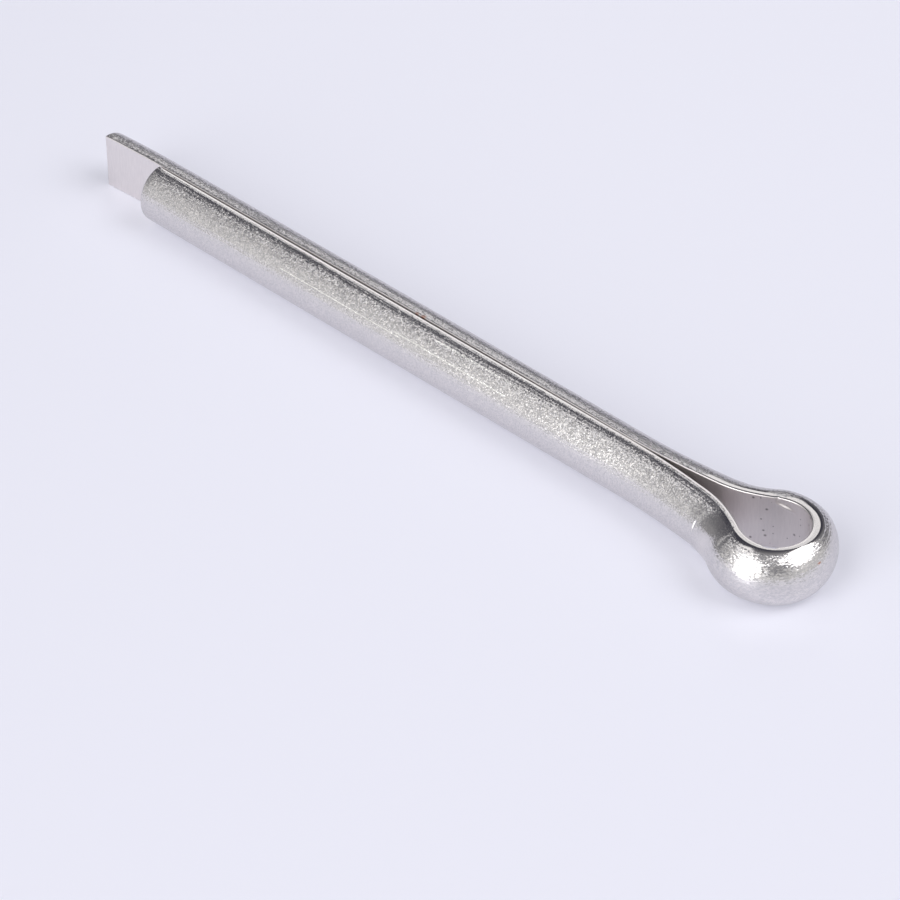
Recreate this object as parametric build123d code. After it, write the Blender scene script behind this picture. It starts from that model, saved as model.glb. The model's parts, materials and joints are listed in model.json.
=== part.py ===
from build123d import *
import math
import os

# Cotter pin: one length of half-round wire, folded flat to flat into a round split shank with a teardrop eye.
# It lies as it rests on a table, with the eye level and +Z up. The origin is on the shank's axis at the
# shoulder, where the eye begins, and +X runs from the prong tips towards the eye.
# Lengths are in millimetres and angles in degrees.

# Shank and prongs
shank_diameter = 3.5  # across both legs together
nominal_length = 40.0  # from the shoulder to the short prong's end
prong_extension = 4.4  # how far the long prong reaches past the short one
leg_gap = 0.04  # between the legs' flat faces along the shank
land_width = 0.2  # flat land along both edges of the wire, next to its flat face
edge_radius = 0.06  # rounding between the lands and the flat face
tip_edge_radius = 0.08  # broken edge around each cut end
short_cut_lean = 4.0  # the short prong was sheared, so its end leans out at the top

# Eye
eye_length = 8.0  # from the shoulder to the eye's outer end
eye_width = 7.2  # across the outside of the eye

# Neck, where the legs part and swing out to the eye
parting_radius = 44.0  # of the flat face in the gentle bend that parts the legs
parting_angle = 6.2  # turned by each leg in that bend
parted_length = 0.89  # straight run of each leg between that bend and the neck bend
neck_radius = 6.2  # of the flat face in the bend out to the eye

cut_overrun = 1.0  # how far a cutting body reaches past the wire

# Sizes that follow from these
shank_radius = shank_diameter / 2
flat_offset = leg_gap / 2  # from the split plane to a leg's flat face
wire_thickness = shank_radius - flat_offset  # from the flat face to the back of the round
land_height = math.sqrt(shank_radius**2 - (flat_offset + land_width) ** 2)  # from the shank's axis
eye_radius = eye_width / 2 - wire_thickness  # of the flat face, inside the eye
eye_centre = Vector(eye_length - eye_width / 2, 0)
long_tip = -nominal_length - prong_extension
short_tip = -nominal_length
lean_rise = shank_radius * math.tan(math.radians(short_cut_lean))


def half_round(tip):
    """The wire's section at the long leg's tip: half a disc about the shank's axis, a land at each edge."""
    plane = Plane(origin=(tip, flat_offset, 0), x_dir=(0, 1, 0), z_dir=(1, 0, 0))
    with BuildSketch(plane) as section:
        with Locations((-flat_offset, 0)):
            Circle(shank_radius)
        split(bisect_by=Plane.YZ)
        Rectangle(2 * shank_diameter, 2 * land_height, mode=Mode.INTERSECT)
        fillet(section.vertices().sort_by(Axis.X)[:2], edge_radius)
    return section.sketch


def leg_line(tip):
    """The long leg's flat face in plan, from its tip to the point where the eye's arc takes over."""
    turn = math.radians(parting_angle)
    along = Vector(math.cos(turn), math.sin(turn))
    outward = Vector(-math.sin(turn), math.cos(turn))
    parting_reach = parting_radius * math.sin(turn)
    parting_rise = parting_radius * (1 - math.cos(turn))

    # The neck bend touches the eye's circle from outside and starts where the leg has parted this far.
    parted_rise = flat_offset + parting_rise + parted_length * math.sin(turn)
    neck_height = parted_rise + neck_radius * math.cos(turn)
    neck_setback = math.sqrt((neck_radius + eye_radius) ** 2 - neck_height**2)
    neck_centre = eye_centre + Vector(-neck_setback, neck_height)
    neck_start = neck_centre - outward * neck_radius
    neck_end = neck_centre + (eye_centre - neck_centre).normalized() * neck_radius
    parting_end = neck_start - along * parted_length
    parting_start = parting_end - Vector(parting_reach, parting_rise)

    shank = Line((tip, flat_offset), parting_start)
    parting = TangentArc([parting_start, parting_end], tangent=shank % 1)
    parted = Line(parting_end, neck_start)
    neck = TangentArc([neck_start, neck_end], tangent=parted % 1)
    return [shank, parting, parted, neck]


def wire_line():
    """The folded wire's flat face in plan: long leg, eye, short leg."""
    long_leg = leg_line(long_tip)
    short_leg = [edge.mirror(Plane.XZ) for edge in leg_line(short_tip - lean_rise)]
    eye_end = eye_centre + Vector(eye_radius, 0)
    eye = ThreePointArc(long_leg[-1] @ 1, eye_end, short_leg[-1] @ 1)
    return Wire([*long_leg, eye, *short_leg])


def shear_block():
    """What the shears took off the short prong: all that lies past a plane that leans out at the top."""
    depth = 2 * lean_rise + cut_overrun
    width = shank_radius + cut_overrun
    height = shank_diameter + 2 * cut_overrun
    block = Pos(-depth / 2, -width / 2, 0) * Box(depth, width, height)
    return Pos(short_tip, 0, 0) * Rot(0, -short_cut_lean, 0) * block


def cotter_pin():
    """The whole pin: the wire folded, its short prong sheared and the edges of both cut ends broken."""
    pin = sweep(half_round(long_tip), path=wire_line(), transition=Transition.RIGHT) - shear_block()
    flat_faces = pin.faces().filter_by(GeomType.PLANE)
    cut_ends = flat_faces.filter_by(lambda face: abs(face.normal_at().X) > abs(face.normal_at().Y))
    return fillet(cut_ends.edges(), tip_edge_radius)


os.makedirs("parts", exist_ok=True)
export_step(cotter_pin(), "parts/cotter_pin.step")
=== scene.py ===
"""The looks of a cotter pin: one length of half-round steel wire, folded into an eye and a split shank."""

import json
import logging
import math
from dataclasses import dataclass
from enum import Enum
from typing import Any

import bmesh
import bpy
from mathutils import Matrix, Vector

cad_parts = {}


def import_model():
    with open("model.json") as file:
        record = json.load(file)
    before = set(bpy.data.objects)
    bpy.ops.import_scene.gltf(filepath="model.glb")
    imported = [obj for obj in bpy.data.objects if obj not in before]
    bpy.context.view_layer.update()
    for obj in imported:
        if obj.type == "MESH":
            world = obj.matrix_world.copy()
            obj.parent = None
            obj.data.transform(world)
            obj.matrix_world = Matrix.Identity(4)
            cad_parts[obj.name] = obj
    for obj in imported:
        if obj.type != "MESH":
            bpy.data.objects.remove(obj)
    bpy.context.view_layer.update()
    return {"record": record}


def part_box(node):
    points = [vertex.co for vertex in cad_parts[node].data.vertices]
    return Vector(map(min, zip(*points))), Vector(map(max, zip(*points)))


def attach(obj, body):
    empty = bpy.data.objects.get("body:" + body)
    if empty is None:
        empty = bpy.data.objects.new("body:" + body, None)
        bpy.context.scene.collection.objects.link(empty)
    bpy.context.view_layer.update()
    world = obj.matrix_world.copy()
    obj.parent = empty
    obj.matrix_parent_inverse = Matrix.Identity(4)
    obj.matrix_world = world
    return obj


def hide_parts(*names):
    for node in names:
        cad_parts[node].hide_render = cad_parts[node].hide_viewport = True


frame: dict[str, Any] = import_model()

log = logging.getLogger("cotter_pin")

MM = 0.001  # one millimetre in the scene's metres
UP = Vector((0, 0, 1))

# Sockets of a mix node that mixes colours
MIX_FIRST = 6
MIX_SECOND = 7
MIX_RESULT = 2

MID_COLOUR = (0.5, 0.5, 0.5)  # the middle of a colour's range


def linear_colour(hex_code: str) -> tuple[float, float, float, float]:
    """Turn an sRGB hex colour into the linear colour that a shader takes.

    Args:
        hex_code: Six hex digits with a leading number sign.

    Returns:
        Red, green, blue and alpha, linear.
    """
    channels = [int(hex_code[i : i + 2], 16) / 255 for i in (1, 3, 5)]
    linear = [c / 12.92 if c <= 0.04045 else ((c + 0.055) / 1.055) ** 2.4 for c in channels]
    return (linear[0], linear[1], linear[2], 1.0)


def add_node(
    tree: bpy.types.NodeTree,
    kind: str,
    settings: dict[str, Any] | None = None,
    links: dict[Any, Any] | None = None,
) -> bpy.types.Node:
    """Add one node to a tree.

    Args:
        tree: The node tree that gets the node.
        kind: The node's type name.
        settings: Attributes of the node by name.
        links: For each input, by name or number, the output socket or plain value that feeds it.

    Returns:
        The new node.
    """
    node = tree.nodes.new(kind)
    for name, value in (settings or {}).items():
        setattr(node, name, value)
    for socket, source in (links or {}).items():
        if isinstance(source, bpy.types.NodeSocket):
            tree.links.new(source, node.inputs[socket])
        else:
            node.inputs[socket].default_value = source
    return node


def smooth_step(low: float, high: float, value: float) -> float:
    """Rise smoothly from 0 at low to 1 at high."""
    share = min(1.0, max(0.0, (value - low) / (high - low)))
    return share * share * (3 - 2 * share)


class Turn(Enum):
    """Which way the wire bends, seen from above and followed from the long prong."""

    STRAIGHT = 0
    LEFT = 1
    RIGHT = -1


@dataclass(frozen=True)
class Stretch:
    """One stretch of the wire's flat face in plan, in millimetres."""

    turn: Turn
    length: float
    step: float
    radius: float = 0.0

    @property
    def steps(self) -> int:
        """Number of sections to sweep."""
        return math.ceil(self.length / self.step)

    @property
    def angle(self) -> float:
        """Angle turned in this stretch, in radians, positive to the left."""
        return self.turn.value * self.length / self.radius if self.radius else 0.0


class Side(Enum):
    """A side of the wire."""

    BACK = "round back"
    FLAT = "flat face"
    LAND = "land along the edge"


@dataclass(frozen=True)
class ToolMark:
    """A place that the forming tools pressed in, or let bulge where its depth is negative.

    Places and reaches are in millimetres on the straightened wire, along it from the long prong's tip and
    up it from its middle. The plateau is the share of the reach that is pressed to the full depth. The
    squareness is 2 for an oval mark and more for one with corners. The slope is how far the mark runs down
    for each millimetre along.
    """

    name: str
    side: Side
    along: float
    height: float
    reach_along: float
    reach_height: float
    depth: float
    plateau: float = 0.0
    squareness: float = 2.0
    slope: float = 0.0

    def press(self, along: float, height: float) -> float:
        """How deep this mark presses the wire at one place."""
        share_along = abs(along - self.along) / self.reach_along
        middle = self.height - self.slope * (along - self.along)
        share_height = abs(height - middle) / self.reach_height
        share = (share_along**self.squareness + share_height**self.squareness) ** (1 / self.squareness)
        return self.depth * smooth_step(1.0, self.plateau, share)


TOOL_MARKS = (
    ToolMark(
        "near_pinch", Side.BACK, along=56.1, height=-0.1, reach_along=2.0, reach_height=1.9, depth=0.12
    ),
    ToolMark(
        "far_pinch", Side.BACK, along=47.4, height=0.0, reach_along=2.0, reach_height=1.9, depth=0.06
    ),
    ToolMark(
        "near_jaw",
        Side.BACK,
        along=56.98,
        height=0.98,
        reach_along=1.36,
        reach_height=0.96,
        depth=0.03,
        plateau=0.6,
        squareness=6.0,
    ),
    ToolMark(
        "far_jaw",
        Side.BACK,
        along=47.1,
        height=0.98,
        reach_along=1.36,
        reach_height=0.96,
        depth=0.02,
        plateau=0.6,
        squareness=6.0,
    ),
    ToolMark(
        "near_crease", Side.BACK, along=58.25, height=0.7, reach_along=0.12, reach_height=0.46, depth=0.045
    ),
    ToolMark(
        "near_jaw_line", Side.BACK, along=55.7, height=1.36, reach_along=0.14, reach_height=0.4, depth=0.04
    ),
    ToolMark(
        "crease_end", Side.BACK, along=58.24, height=0.08, reach_along=0.13, reach_height=0.14, depth=0.03
    ),
    ToolMark(
        "eye_front_bulge",
        Side.BACK,
        along=53.1,
        height=-1.1,
        reach_along=1.8,
        reach_height=1.5,
        depth=-0.09,
    ),
    ToolMark(
        "eye_end_flat", Side.BACK, along=51.3, height=0.2, reach_along=2.0, reach_height=1.9, depth=0.1
    ),
    ToolMark(
        "mandrel_lip",
        Side.FLAT,
        along=48.42,
        height=1.2,
        reach_along=0.66,
        reach_height=0.13,
        depth=-0.085,
        slope=0.32,
    ),
    ToolMark(
        "lip_notch", Side.FLAT, along=48.03, height=1.7, reach_along=0.14, reach_height=0.24, depth=0.05
    ),
    ToolMark(
        "rim_dent",
        Side.FLAT,
        along=54.0,
        height=1.75,
        reach_along=0.5,
        reach_height=0.25,
        depth=0.1,
        plateau=0.5,
        squareness=3.0,
    ),
    ToolMark(
        "eye_end_land", Side.LAND, along=51.0, height=1.7, reach_along=2.6, reach_height=3.0, depth=0.18
    ),
)


@dataclass
class CotterPin:
    """The folded wire. Lengths are in millimetres and angles in degrees."""

    # The wire and its fold
    shank_radius: float
    long_tip: float
    eye_end: float
    eye_centre: float
    prong_extension: float = 4.4
    leg_gap: float = 0.04
    land_width: float = 0.29  # wider than the solid's, as the real wire shows it
    edge_radius: float = 0.06
    tip_edge_radius: float = 0.08
    short_cut_lean: float = 4.0
    parting_radius: float = 44.0
    parting_angle: float = 6.2
    parted_length: float = 0.89
    neck_radius: float = 6.2

    # How finely it is drawn
    corner_steps: int = 5
    land_steps: int = 3
    back_steps: int = 48
    flat_cuts: int = 59
    tip_edge_steps: int = 4
    straight_step: float = 0.45
    parting_step: float = 0.12
    bend_step: float = 0.04
    eye_parts: int = 6  # the eye is swept in this many stretches
    weld_distance: float = 0.002

    # How far the mandrel shifted the hole, and how the long leg is bent
    mandrel_shift: float = 0.25
    mandrel_middle: float = 52.08
    mandrel_reach: float = 5.5
    bow_length: float = 40.0
    bow_depth: float = 0.07
    tip_bend: float = 0.13

    # Where the tools rubbed the edges smooth: how high over the flat face, and how far about which middle
    rub_start: float = 47.5
    rub_whole: float = 49.5
    rub_fade: float = 0.08
    leg_rub: float = 0.12
    eye_rub: float = 0.48
    eye_rub_middle: float = 52.0
    eye_rub_reach: float = 5.0
    far_rub: float = 0.4
    far_rub_middle: float = 46.0
    far_rub_reach: float = 2.6

    # How smooth the jaws rubbed the near neck, and where
    pinch_rub: float = 0.75
    pinch_rub_middle: float = 56.8
    pinch_rub_reach: float = 1.3

    @property
    def flat_offset(self) -> float:
        """From the split plane to a leg's flat face."""
        return self.leg_gap / 2

    @property
    def eye_radius(self) -> float:
        """Radius of the flat face inside the eye."""
        return self.eye_end - self.eye_centre - self.shank_radius + self.flat_offset

    @property
    def land_height(self) -> float:
        """From the shank's axis to the lands along the wire's edges."""
        return math.sqrt(self.shank_radius**2 - (self.flat_offset + self.land_width) ** 2)

    def stretches(self) -> list[Stretch]:
        """Lay out the wire's line from the long prong's tip to the short one's.

        Returns:
            The stretches in order.
        """
        turn = math.radians(self.parting_angle)
        parting_reach = self.parting_radius * math.sin(turn)
        parting_rise = self.parting_radius * (1 - math.cos(turn))
        parted_rise = self.flat_offset + parting_rise + self.parted_length * math.sin(turn)
        neck_height = parted_rise + self.neck_radius * math.cos(turn)
        neck_setback = math.sqrt((self.neck_radius + self.eye_radius) ** 2 - neck_height**2)
        half_eye = math.atan2(neck_height, -neck_setback)
        neck_turn = half_eye - math.pi / 2 - turn
        neck_start = self.eye_centre - neck_setback + self.neck_radius * math.sin(turn)
        parting_start = neck_start - self.parted_length * math.cos(turn) - parting_reach
        long_leg = parting_start - self.long_tip

        parting = Stretch(Turn.LEFT, self.parting_radius * turn, self.parting_step, self.parting_radius)
        parted = Stretch(Turn.STRAIGHT, self.parted_length, self.parting_step)
        neck = Stretch(Turn.LEFT, self.neck_radius * neck_turn, self.bend_step, self.neck_radius)
        eye_part = Stretch(
            Turn.RIGHT, 2 * half_eye * self.eye_radius / self.eye_parts, self.bend_step, self.eye_radius
        )
        long_straight = Stretch(Turn.STRAIGHT, long_leg, self.straight_step)
        short_straight = Stretch(Turn.STRAIGHT, long_leg - self.prong_extension, self.straight_step)
        leg_bends = [parting, parted, neck]
        eye = [eye_part] * self.eye_parts
        return [long_straight, *leg_bends, *eye, *reversed(leg_bends), short_straight]

    def section(self, bm: bmesh.types.BMesh) -> list[Any]:
        """Draw the wire's half-round section: its flat face stands at the origin and its back is towards +Y.

        Args:
            bm: The empty mesh that gets the section.

        Returns:
            The closed ring of edges and vertices.
        """
        back_angle = math.acos((self.flat_offset + self.land_width) / self.shank_radius)
        corner_up = self.land_height - self.edge_radius
        axis_point = Vector((0, -self.flat_offset, 0))
        land_step = Vector((0, (self.land_width - self.edge_radius) / self.land_steps, 0))
        lines = (
            (Vector((0, self.edge_radius, corner_up)), math.pi / 2, Vector(), self.corner_steps),
            (Vector(), 0.0, land_step, self.land_steps),
            (axis_point, 2 * back_angle, Vector(), self.back_steps),
            (Vector(), 0.0, -land_step, self.land_steps),
            (Vector((0, self.edge_radius, -corner_up)), math.pi / 2, Vector(), self.corner_steps),
        )
        first = bm.verts.new((0, 0, corner_up))
        last = first
        for centre, angle, move, steps in lines:
            made = bmesh.ops.spin(
                bm, geom=[last], cent=centre, axis=(1, 0, 0), dvec=move, angle=-angle, steps=steps
            )
            last = next(v for v in made["geom_last"] if isinstance(v, bmesh.types.BMVert))
        flat = bmesh.ops.contextual_create(bm, geom=[last, first])["edges"]
        bmesh.ops.subdivide_edges(bm, edges=flat, cuts=self.flat_cuts)
        return [*bm.verts, *bm.edges]

    def swept_stretch(self, stretch: Stretch, start: Matrix, along: float) -> bpy.types.Mesh:
        """Sweep the section along one stretch, and note for each point where it lies on the straight wire.

        Args:
            stretch: The stretch to follow.
            start: Place and heading of the wire's line where the stretch begins.
            along: Length of wire before the stretch.

        Returns:
            The open tube.
        """
        bm = bmesh.new()
        place = bm.verts.layers.float_vector.new("wire")
        ring = self.section(bm)
        for v in bm.verts:
            v[place] = (along, v.co.y, v.co.z)
        bmesh.ops.transform(bm, matrix=start, verts=bm.verts)
        centre = start @ Vector((0, stretch.turn.value * stretch.radius, 0))
        step_length = stretch.length / stretch.steps
        step_angle = stretch.angle / stretch.steps
        step_move = start.to_3x3() @ Vector((0 if stretch.radius else step_length, 0, 0))
        for _ in range(stretch.steps):
            made = bmesh.ops.spin(
                bm, geom=ring, cent=centre, axis=UP, dvec=step_move, angle=step_angle, steps=1
            )
            ring = made["geom_last"]
            along += step_length
            for v in ring:
                if isinstance(v, bmesh.types.BMVert):
                    v[place].x = along
        mesh = bpy.data.meshes.new("stretch")
        bm.to_mesh(mesh)
        bm.free()
        return mesh

    def sweep(self, bm: bmesh.types.BMesh) -> None:
        """Sweep every stretch of the wire and weld them into one tube.

        Args:
            bm: The empty mesh that gets the tube.
        """
        start = Matrix.Translation((self.long_tip, self.flat_offset, 0))
        along = 0.0
        for stretch in self.stretches():
            mesh = self.swept_stretch(stretch, start, along)
            bm.from_mesh(mesh)
            bpy.data.meshes.remove(mesh)
            if stretch.radius:
                centre = Matrix.Translation((0, stretch.turn.value * stretch.radius, 0))
                start = start @ centre @ Matrix.Rotation(stretch.angle, 4, "Z") @ centre.inverted()
            else:
                start = start @ Matrix.Translation((stretch.length, 0, 0))
            along += stretch.length
        bmesh.ops.remove_doubles(bm, verts=bm.verts, dist=self.weld_distance)
        bmesh.ops.recalc_face_normals(bm, faces=bm.faces)
        lean = math.tan(math.radians(self.short_cut_lean))
        for v in bm.verts:
            if v.is_boundary and v.co.y < 0:
                v.co.x -= lean * v.co.z

    def press_marks(self, bm: bmesh.types.BMesh) -> None:
        """Press the tools' marks into the wire, shift the eye's hole, and note where it was rubbed smooth.

        Args:
            bm: The swept wire.
        """
        place = bm.verts.layers.float_vector["wire"]
        rubbed = bm.verts.layers.float.new("rubbed")
        bm.normal_update()
        for v in bm.verts:
            along, out, height = v[place]
            on_back = smooth_step(self.land_width, self.shank_radius / 2, out)
            on_flat = smooth_step(self.land_width, 0.0, out)
            on_inside = smooth_step(self.shank_radius / 2, 0.0, out)
            past_flat = smooth_step(0.0, self.land_width, out)
            on_land = past_flat * smooth_step(self.shank_radius, self.land_width, out)
            from_mandrel = abs(along - self.mandrel_middle)
            on_eye = smooth_step(self.mandrel_reach, self.mandrel_reach / 2, from_mandrel)
            outward = Vector((v.co.x - self.eye_centre, v.co.y, 0)).normalized()
            back, flat, land = (
                sum(mark.press(along, height) for mark in TOOL_MARKS if mark.side is side) for side in Side
            )
            v.co += outward * (flat * on_flat + land * on_land) - v.normal * back * on_back
            v.co.x += self.mandrel_shift * on_inside * on_eye
            v[rubbed] = self.rubbed_smooth(along, out)

    def bend_long_leg(self, bm: bmesh.types.BMesh) -> None:
        """Bow the long leg out a little between its ends and turn its free tip in.

        Args:
            bm: The swept wire.
        """
        place = bm.verts.layers.float_vector["wire"]
        for v in bm.verts:
            along = v[place].x
            if along < self.bow_length:
                v.co.y += self.bow_depth * math.sin(math.pi * along / self.bow_length)
            if along < self.prong_extension:
                v.co.y -= self.tip_bend * (1 - along / self.prong_extension) ** 2

    def crease_lands(self, bm: bmesh.types.BMesh) -> None:
        """Keep the line between the lands and the round back crisp.

        Args:
            bm: The swept wire.
        """
        place = bm.verts.layers.float_vector["wire"]
        for edge in bm.edges:
            edge.smooth = any(abs(v[place].y - self.land_width) > self.weld_distance for v in edge.verts)

    def rubbed_smooth(self, along: float, out: float) -> float:
        """Tell how smooth the tools rubbed one place.

        Args:
            along: Place along the straightened wire.
            out: Height over the flat face.

        Returns:
            1 where the grain is gone, 0 where it is whole.
        """
        short_side = smooth_step(self.rub_start, self.rub_whole, along)
        on_eye = smooth_step(self.eye_rub_reach, self.eye_rub_reach / 2, abs(along - self.eye_rub_middle))
        on_far = smooth_step(self.far_rub_reach, self.far_rub_reach / 2, abs(along - self.far_rub_middle))
        edge = max(short_side * (self.leg_rub + self.eye_rub * on_eye), self.far_rub * on_far)
        rim = 1 - smooth_step(edge, edge + self.rub_fade, out) if edge else 0.0
        on_pinch = smooth_step(self.pinch_rub_reach, 0.0, abs(along - self.pinch_rub_middle))
        return max(rim, self.pinch_rub * on_pinch)

    def close_ends(self, bm: bmesh.types.BMesh) -> None:
        """Close both cut ends and break their edges.

        Args:
            bm: The swept wire, open at both ends.
        """
        open_edges = [e for e in bm.edges if e.is_boundary]
        ends = bmesh.ops.holes_fill(bm, edges=open_edges, sides=0)["faces"]
        bmesh.ops.recalc_face_normals(bm, faces=bm.faces)
        rims = [e for face in ends for e in face.edges]
        bmesh.ops.bevel(
            bm,
            geom=rims,
            offset=self.tip_edge_radius,
            segments=self.tip_edge_steps,
            profile=0.5,
            affect="EDGES",
            material=-1,
        )

    def build(self) -> bpy.types.Object:
        """Make the pin's mesh object.

        Returns:
            The new object, in the scene.
        """
        bm = bmesh.new()
        self.sweep(bm)
        self.press_marks(bm)
        self.bend_long_leg(bm)
        self.crease_lands(bm)
        self.close_ends(bm)
        bmesh.ops.scale(bm, vec=(MM, MM, MM), verts=bm.verts)
        for face in bm.faces:
            face.smooth = True
        mesh = bpy.data.meshes.new("folded_wire")
        bm.to_mesh(mesh)
        bm.free()
        pin = bpy.data.objects.new("folded_wire", mesh)
        bpy.context.scene.collection.objects.link(pin)
        return pin


@dataclass(frozen=True)
class RustSpeck:
    """A speck of rust. Its place on the wire and its radius are in millimetres."""

    along: float
    out: float
    height: float
    radius: float


RUST_SPECKS = (
    RustSpeck(along=23.95, out=0.02, height=1.65, radius=0.17),
    RustSpeck(along=24.4, out=0.02, height=1.65, radius=0.23),
    RustSpeck(along=52.15, out=1.46, height=0.94, radius=0.1),
)


@dataclass(frozen=True)
class Scratch:
    """A long fine scratch on the short leg. Its place on the wire and its sizes are in millimetres."""

    along: float
    height: float
    half_length: float
    half_width: float


SCRATCHES = (
    Scratch(along=84.5, height=1.0, half_length=4.5, half_width=0.025),
    Scratch(along=76.5, height=1.12, half_length=4.0, half_width=0.03),
    Scratch(along=75.0, height=1.57, half_length=3.0, half_width=0.02),
)


@dataclass(frozen=True)
class WireSockets:
    """Where a shader is on the straightened wire, and what the surface is there."""

    place: bpy.types.NodeSocket
    along: bpy.types.NodeSocket
    height: bpy.types.NodeSocket
    on_flat: bpy.types.NodeSocket
    grain: bpy.types.NodeSocket


@dataclass(frozen=True)
class DrawnStainless:
    """Stainless steel wire, drawn and tumbled: a back of bright specks, smooth edges and a satin flat face.

    Its sizes are in millimetres. The real grain is too fine to show, so its specks are drawn coarser.
    """

    colour: str = "#E3DFDD"
    speck_colour: str = "#CCCACC"
    flat_colour: str = "#ECE7E6"
    streak_colour: str = "#E0DBDB"
    pit_colour: str = "#55504E"
    scratch_colour: str = "#F6F4F1"
    rust_colour: str = "#BA7C5E"
    grain_roughness: float = 0.27
    smooth_roughness: float = 0.13
    flat_roughness: float = 0.42
    speck_size: float = 0.06
    speck_tilt: float = 0.1
    line_spacing: float = 0.12
    line_length: float = 4.0
    line_depth: float = 0.012
    flat_depth: float = 0.06
    streak_spacing: float = 0.1
    streak_length: float = 0.7
    pit_spacing: float = 0.7
    pit_radius: float = 0.1
    pit_middle: float = 51.5
    pit_reach: float = 5.0

    def wire_sockets(self, tree: bpy.types.NodeTree) -> WireSockets:
        """Read the wire's own attributes: the round back keeps its grain where no tool rubbed it.

        Args:
            tree: The material's node tree.

        Returns:
            The outputs that the other methods read.
        """
        place = add_node(tree, "ShaderNodeAttribute", {"attribute_name": "wire"}).outputs["Vector"]
        along, out, height = add_node(tree, "ShaderNodeSeparateXYZ", links={0: place}).outputs
        rubbed = add_node(tree, "ShaderNodeAttribute", {"attribute_name": "rubbed"}).outputs["Fac"]
        on_flat = add_node(
            tree,
            "ShaderNodeMapRange",
            links={"Value": out, "From Max": self.flat_depth, "To Min": 1.0, "To Max": 0.0},
        ).outputs["Result"]
        smooth = add_node(
            tree, "ShaderNodeMath", {"operation": "MAXIMUM"}, {0: rubbed, 1: on_flat}
        ).outputs["Value"]
        grain = add_node(
            tree, "ShaderNodeMath", {"operation": "SUBTRACT", "use_clamp": True}, {0: 1.0, 1: smooth}
        ).outputs["Value"]
        return WireSockets(place, along, height, on_flat, grain)

    def facing(
        self, tree: bpy.types.NodeTree, wire: WireSockets, speck: bpy.types.NodeSocket
    ) -> bpy.types.NodeSocket:
        """Break up the light on the grain: faint drawing lines, and small facets that lean every way.

        Args:
            tree: The material's node tree.
            wire: Where on the wire the shader is.
            speck: A colour for each speck, which says how it leans.

        Returns:
            The way that the surface faces.
        """
        stretched = add_node(
            tree,
            "ShaderNodeMapping",
            links={"Vector": wire.place, "Scale": (self.line_spacing / self.line_length, 1.0, 1.0)},
        ).outputs["Vector"]
        lines = add_node(
            tree,
            "ShaderNodeTexNoise",
            links={"Vector": stretched, "Scale": 1 / self.line_spacing, "Detail": 0.0},
        ).outputs["Fac"]
        drawn = add_node(
            tree,
            "ShaderNodeBump",
            links={"Strength": wire.grain, "Distance": self.line_depth * MM, "Height": lines},
        ).outputs["Normal"]
        lean = add_node(
            tree, "ShaderNodeVectorMath", {"operation": "SUBTRACT"}, {0: speck, 1: MID_COLOUR}
        ).outputs["Vector"]
        amount = add_node(
            tree, "ShaderNodeMath", {"operation": "MULTIPLY"}, {0: wire.grain, 1: 2 * self.speck_tilt}
        ).outputs["Value"]
        leaning = add_node(
            tree, "ShaderNodeVectorMath", {"operation": "SCALE"}, {0: lean, "Scale": amount}
        ).outputs["Vector"]
        normal = add_node(
            tree, "ShaderNodeVectorMath", {"operation": "ADD"}, {0: drawn, 1: leaning}
        ).outputs["Vector"]
        return add_node(
            tree, "ShaderNodeVectorMath", {"operation": "NORMALIZE"}, {0: normal}
        ).outputs["Vector"]

    def roughness(self, tree: bpy.types.NodeTree, wire: WireSockets) -> bpy.types.NodeSocket:
        """Make the grain rougher than what the tools rubbed, and the flat face the roughest.

        Args:
            tree: The material's node tree.
            wire: Where on the wire the shader is.

        Returns:
            The roughness.
        """
        back = add_node(
            tree,
            "ShaderNodeMapRange",
            links={"Value": wire.grain, "To Min": self.smooth_roughness, "To Max": self.grain_roughness},
        ).outputs["Result"]
        return add_node(
            tree,
            "ShaderNodeMapRange",
            links={"Value": wire.on_flat, "To Min": back, "To Max": self.flat_roughness},
        ).outputs["Result"]

    def back_tint(
        self, tree: bpy.types.NodeTree, wire: WireSockets, speck: bpy.types.NodeSocket
    ) -> bpy.types.NodeSocket:
        """Colour the round back, where some specks of the grain are darker.

        Args:
            tree: The material's node tree.
            wire: Where on the wire the shader is.
            speck: A colour for each speck, which says how dark it is.

        Returns:
            The colour.
        """
        speck_shade = add_node(tree, "ShaderNodeSeparateColor", links={"Color": speck}).outputs["Blue"]
        dark_speck = add_node(
            tree, "ShaderNodeMath", {"operation": "MULTIPLY"}, {0: speck_shade, 1: wire.grain}
        ).outputs["Value"]
        light = linear_colour(self.colour)
        dark = linear_colour(self.speck_colour)
        return add_node(
            tree,
            "ShaderNodeMix",
            {"data_type": "RGBA"},
            {"Factor": dark_speck, MIX_FIRST: light, MIX_SECOND: dark},
        ).outputs[MIX_RESULT]

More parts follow.
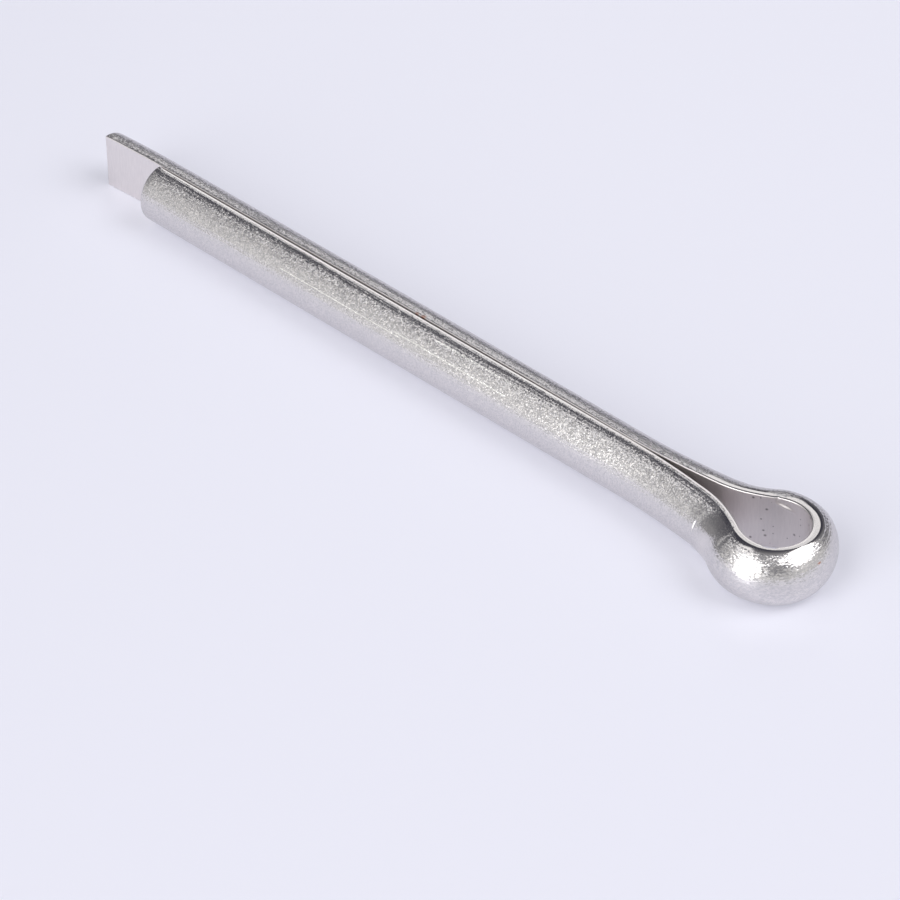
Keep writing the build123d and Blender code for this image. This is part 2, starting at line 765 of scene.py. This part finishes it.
    def flat_tint(self, tree: bpy.types.NodeTree, wire: WireSockets) -> bpy.types.NodeSocket:
        """Colour the flat face, with faint streaks across it and a few tiny dark pits inside the eye.

        Args:
            tree: The material's node tree.
            wire: Where on the wire the shader is.

        Returns:
            The colour.
        """
        on_face = add_node(
            tree, "ShaderNodeCombineXYZ", links={"X": wire.along, "Y": wire.height}
        ).outputs["Vector"]
        across = add_node(
            tree,
            "ShaderNodeMapping",
            links={"Vector": on_face, "Scale": (1 / self.streak_spacing, 1 / self.streak_length, 1.0)},
        ).outputs["Vector"]
        streaks = add_node(
            tree, "ShaderNodeTexNoise", {"noise_dimensions": "2D"}, {"Vector": across, "Scale": 1.0}
        ).outputs["Fac"]
        light = linear_colour(self.flat_colour)
        dark = linear_colour(self.streak_colour)
        streaked = add_node(
            tree,
            "ShaderNodeMix",
            {"data_type": "RGBA"},
            {"Factor": streaks, MIX_FIRST: light, MIX_SECOND: dark},
        ).outputs[MIX_RESULT]
        pits = add_node(
            tree,
            "ShaderNodeTexVoronoi",
            {"voronoi_dimensions": "2D"},
            {"Vector": on_face, "Scale": 1 / self.pit_spacing},
        )
        pit_size = add_node(
            tree, "ShaderNodeSeparateColor", links={"Color": pits.outputs["Color"]}
        ).outputs["Red"]
        pit_edge = add_node(
            tree,
            "ShaderNodeMath",
            {"operation": "MULTIPLY"},
            {0: pit_size, 1: self.pit_radius / self.pit_spacing},
        ).outputs["Value"]
        in_pit = add_node(
            tree,
            "ShaderNodeMapRange",
            links={"Value": pits.outputs["Distance"], "From Max": pit_edge, "To Min": 1.0, "To Max": 0.0},
        ).outputs["Result"]
        in_eye = add_node(
            tree,
            "ShaderNodeMath",
            {"operation": "COMPARE"},
            {0: wire.along, 1: self.pit_middle, 2: self.pit_reach},
        ).outputs["Value"]
        pitted = add_node(
            tree, "ShaderNodeMath", {"operation": "MULTIPLY"}, {0: in_pit, 1: in_eye}
        ).outputs["Value"]
        return add_node(
            tree,
            "ShaderNodeMix",
            {"data_type": "RGBA"},
            {"Factor": pitted, MIX_FIRST: streaked, MIX_SECOND: linear_colour(self.pit_colour)},
        ).outputs[MIX_RESULT]

    def marked(
        self, tree: bpy.types.NodeTree, wire: WireSockets, colour: bpy.types.NodeSocket
    ) -> bpy.types.NodeSocket:
        """Draw the scratches and the specks of rust over the steel.

        Args:
            tree: The material's node tree.
            wire: Where on the wire the shader is.
            colour: The steel's own colour.

        Returns:
            The colour with its marks.
        """
        for scratch in SCRATCHES:
            in_length = add_node(
                tree,
                "ShaderNodeMath",
                {"operation": "COMPARE"},
                {0: wire.along, 1: scratch.along, 2: scratch.half_length},
            ).outputs["Value"]
            in_width = add_node(
                tree,
                "ShaderNodeMath",
                {"operation": "COMPARE"},
                {0: wire.height, 1: scratch.height, 2: scratch.half_width},
            ).outputs["Value"]
            in_scratch = add_node(
                tree, "ShaderNodeMath", {"operation": "MULTIPLY"}, {0: in_length, 1: in_width}
            ).outputs["Value"]
            colour = add_node(
                tree,
                "ShaderNodeMix",
                {"data_type": "RGBA"},
                {"Factor": in_scratch, MIX_FIRST: colour, MIX_SECOND: linear_colour(self.scratch_colour)},
            ).outputs[MIX_RESULT]
        for rust in RUST_SPECKS:
            from_middle = add_node(
                tree,
                "ShaderNodeVectorMath",
                {"operation": "DISTANCE"},
                {0: wire.place, 1: (rust.along, rust.out, rust.height)},
            ).outputs["Value"]
            in_rust = add_node(
                tree,
                "ShaderNodeMapRange",
                links={"Value": from_middle, "From Max": rust.radius, "To Min": 1.0, "To Max": 0.0},
            ).outputs["Result"]
            colour = add_node(
                tree,
                "ShaderNodeMix",
                {"data_type": "RGBA"},
                {"Factor": in_rust, MIX_FIRST: colour, MIX_SECOND: linear_colour(self.rust_colour)},
            ).outputs[MIX_RESULT]
        return colour

    def material(self) -> bpy.types.Material:
        """Make the material.

        Returns:
            The new material.
        """
        material = bpy.data.materials.new("drawn_stainless_steel")
        material.use_nodes = True
        tree = material.node_tree
        tree.nodes.clear()
        wire = self.wire_sockets(tree)
        speck = add_node(
            tree, "ShaderNodeTexVoronoi", links={"Vector": wire.place, "Scale": 1 / self.speck_size}
        ).outputs["Color"]
        back = self.back_tint(tree, wire, speck)
        flat = self.flat_tint(tree, wire)
        steel = add_node(
            tree,
            "ShaderNodeMix",
            {"data_type": "RGBA"},
            {"Factor": wire.on_flat, MIX_FIRST: back, MIX_SECOND: flat},
        ).outputs[MIX_RESULT]
        shader = add_node(
            tree,
            "ShaderNodeBsdfPrincipled",
            links={
                "Base Color": self.marked(tree, wire, steel),
                "Metallic": 1.0,
                "Roughness": self.roughness(tree, wire),
                "Normal": self.facing(tree, wire, speck),
            },
        )
        add_node(tree, "ShaderNodeOutputMaterial", links={"Surface": shader.outputs["BSDF"]})
        return material


@dataclass(frozen=True)
class PaleTable:
    """A pale matt acrylic sheet: almost white, with a faint reflection of what lies on it.

    Its painted glow is an even emission from the whole sheet, though the sheet is no lamp: painted light
    that keeps the pin's shadow soft and pale.
    """

    colour: str = "#EDEDF9"
    roughness: float = 0.3
    specular: float = 0.25
    # painted light: the share of the sheet's colour that it emits, which pales the pin's shadow
    painted_glow: float = 0.28
    half_width: float = 1500.0

    def material(self) -> bpy.types.Material:
        """Make the material.

        Returns:
            The new material.
        """
        material = bpy.data.materials.new("pale_acrylic_sheet")
        material.use_nodes = True
        tree = material.node_tree
        tree.nodes.clear()
        colour = linear_colour(self.colour)
        shader = add_node(
            tree,
            "ShaderNodeBsdfPrincipled",
            links={
                "Base Color": [channel * (1 - self.painted_glow) for channel in colour],
                "Roughness": self.roughness,
                "Specular IOR Level": self.specular,
                # painted glow: the sheet emits part of its own colour, lightening the shadow on it
                "Emission Color": colour,
                "Emission Strength": self.painted_glow,
            },
        )
        add_node(tree, "ShaderNodeOutputMaterial", links={"Surface": shader.outputs["BSDF"]})
        return material

    def build(self, height: float) -> bpy.types.Object:
        """Lay the sheet under the pin.

        Args:
            height: Level of its upper face, in metres.

        Returns:
            The sheet, which isn't part of the pin.
        """
        bm = bmesh.new()
        bmesh.ops.create_grid(bm, x_segments=1, y_segments=1, size=self.half_width * MM)
        bmesh.ops.translate(bm, vec=(0, 0, height), verts=bm.verts)
        mesh = bpy.data.meshes.new("table")
        bm.to_mesh(mesh)
        bm.free()
        mesh.materials.append(self.material())
        table = bpy.data.objects.new("table", mesh)
        bpy.context.scene.collection.objects.link(table)
        return table


def direction(azimuth: float, elevation: float) -> Vector:
    """Point from the pin towards a place round it.

    Args:
        azimuth: Degrees round from -Y, towards +X.
        elevation: Degrees above the table.

    Returns:
        The unit vector.
    """
    turn = math.radians(azimuth)
    rise = math.radians(elevation)
    return Vector((math.sin(turn) * math.cos(rise), -math.cos(turn) * math.cos(rise), math.sin(rise)))


@dataclass(frozen=True)
class Softbox:
    """A softbox that faces the pin. Its sizes are in millimetres, and its brightness is that of its face."""

    name: str
    azimuth: float
    elevation: float
    width: float
    height: float
    brightness: float
    distance: float = 500.0

    def build(self) -> bpy.types.Object:
        """Hang the softbox.

        Returns:
            The lamp.
        """
        data = bpy.data.lights.new(self.name, "AREA")
        data.shape = "RECTANGLE"
        data.size = self.width * MM
        data.size_y = self.height * MM
        data.energy = self.brightness * math.pi * data.size * data.size_y
        lamp = bpy.data.objects.new(self.name, data)
        towards = direction(self.azimuth, self.elevation)
        lamp.location = towards * self.distance * MM
        lamp.rotation_mode = "QUATERNION"
        lamp.rotation_quaternion = towards.to_track_quat("Z", "Y")
        lamp.visible_camera = False
        bpy.context.scene.collection.objects.link(lamp)
        return lamp


SOFTBOXES = (
    Softbox("left_softbox", azimuth=-2.0, elevation=30.0, width=310.0, height=600.0, brightness=2.7),
    Softbox("top_softbox", azimuth=-60.0, elevation=65.0, width=290.0, height=170.0, brightness=1.0),
    Softbox("right_softbox", azimuth=117.0, elevation=53.0, width=345.0, height=340.0, brightness=3.15),
    Softbox("back_softbox", azimuth=219.0, elevation=31.0, width=195.0, height=215.0, brightness=1.1),
)


@dataclass(frozen=True)
class DarkPlace:
    """A dark part of the room: full dark within one angle from its middle, none past another, in degrees.

    Its level is the share of the room's light that is left in its middle.
    """

    azimuth: float
    elevation: float
    inner_angle: float
    outer_angle: float
    level: float


@dataclass(frozen=True)
class StudioRoom:
    """The room round the table: pale, but dark behind the pin, past its prongs and round the camera."""

    pale_colour: str = "#D9D9D9"
    dark_colour: str = "#242436"
    dark_places: tuple[DarkPlace, ...] = (
        DarkPlace(azimuth=207.0, elevation=45.0, inner_angle=23.0, outer_angle=76.0, level=0.05),
        DarkPlace(azimuth=48.0, elevation=52.0, inner_angle=16.0, outer_angle=32.0, level=0.25),
        DarkPlace(azimuth=-77.0, elevation=16.0, inner_angle=10.0, outer_angle=36.0, level=0.4),
    )

    def build(self) -> None:
        """Set the scene's world."""
        world = bpy.data.worlds.new("studio_room")
        world.use_nodes = True
        tree = world.node_tree
        tree.nodes.clear()
        towards = add_node(tree, "ShaderNodeTexCoord").outputs["Generated"]
        pale: Any = 1.0
        for place in self.dark_places:
            nearness = add_node(
                tree,
                "ShaderNodeVectorMath",
                {"operation": "DOT_PRODUCT"},
                {0: towards, 1: direction(place.azimuth, place.elevation)},
            ).outputs["Value"]
            share = add_node(
                tree,
                "ShaderNodeMapRange",
                {"interpolation_type": "SMOOTHSTEP"},
                {
                    "Value": nearness,
                    "From Min": math.cos(math.radians(place.outer_angle)),
                    "From Max": math.cos(math.radians(place.inner_angle)),
                    "To Min": 1.0,
                    "To Max": place.level,
                },
            ).outputs["Result"]
            pale = add_node(
                tree, "ShaderNodeMath", {"operation": "MULTIPLY"}, {0: pale, 1: share}
            ).outputs["Value"]
        dark_wall = linear_colour(self.dark_colour)
        pale_wall = linear_colour(self.pale_colour)
        colour = add_node(
            tree,
            "ShaderNodeMix",
            {"data_type": "RGBA"},
            {"Factor": pale, MIX_FIRST: dark_wall, MIX_SECOND: pale_wall},
        ).outputs[MIX_RESULT]
        background = add_node(tree, "ShaderNodeBackground", links={"Color": colour})
        add_node(tree, "ShaderNodeOutputWorld", links={"Surface": background.outputs["Background"]})
        bpy.context.scene.world = world


@dataclass(frozen=True)
class PhotoCamera:
    """A long lens that looks down on the pin from over the short prong's side."""

    azimuth: float = 42.58
    elevation: float = 40.563
    distance: float = 236.19
    target: tuple[float, float, float] = (-14.2063, -4.0641, -1.75)
    focal_length: float = 177.489
    sensor_width: float = 36.0
    nearest: float = 2.4

    def build(self) -> bpy.types.Object:
        """Make the scene's camera.

        Returns:
            The camera object.
        """
        back = direction(self.azimuth, self.elevation)
        data = bpy.data.cameras.new("photo_camera")
        data.lens = self.focal_length
        data.sensor_width = self.sensor_width
        data.clip_start = self.nearest * MM
        camera = bpy.data.objects.new("photo_camera", data)
        camera.location = (Vector(self.target) + back * self.distance) * MM
        camera.rotation_mode = "QUATERNION"
        camera.rotation_quaternion = (-back).to_track_quat("-Z", "Y")
        bpy.context.scene.collection.objects.link(camera)
        bpy.context.scene.camera = camera
        return camera


def main() -> None:
    """Build the pin, its stage and its camera."""
    logging.basicConfig(level=logging.INFO, format="%(name)s: %(message)s")
    mounts = {mount["name"]: mount for mount in frame["record"]["mounts"]}
    low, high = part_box("cotter_pin")
    pin = CotterPin(
        shank_radius=mounts["shank"]["dims"]["r_mm"],
        long_tip=low.x / MM,
        eye_end=high.x / MM,
        eye_centre=mounts["eye"]["pos_m"][0] / MM,
    )
    piece = pin.build()
    piece.data.materials.append(DrawnStainless().material())
    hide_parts("cotter_pin")
    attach(piece, "root")
    marks = ", ".join(mark.name for mark in TOOL_MARKS)
    log.info("%s: %d faces, with the marks %s", piece.name, len(piece.data.polygons), marks)
    table = PaleTable().build(low.z)
    lamps = [softbox.build() for softbox in SOFTBOXES]
    StudioRoom().build()
    camera = PhotoCamera().build()
    for staged in (table, *lamps, camera):
        log.info("%s: on the stage", staged.name)
    bpy.context.scene.view_settings.view_transform = "Standard"


if __name__ == "__main__":
    main()
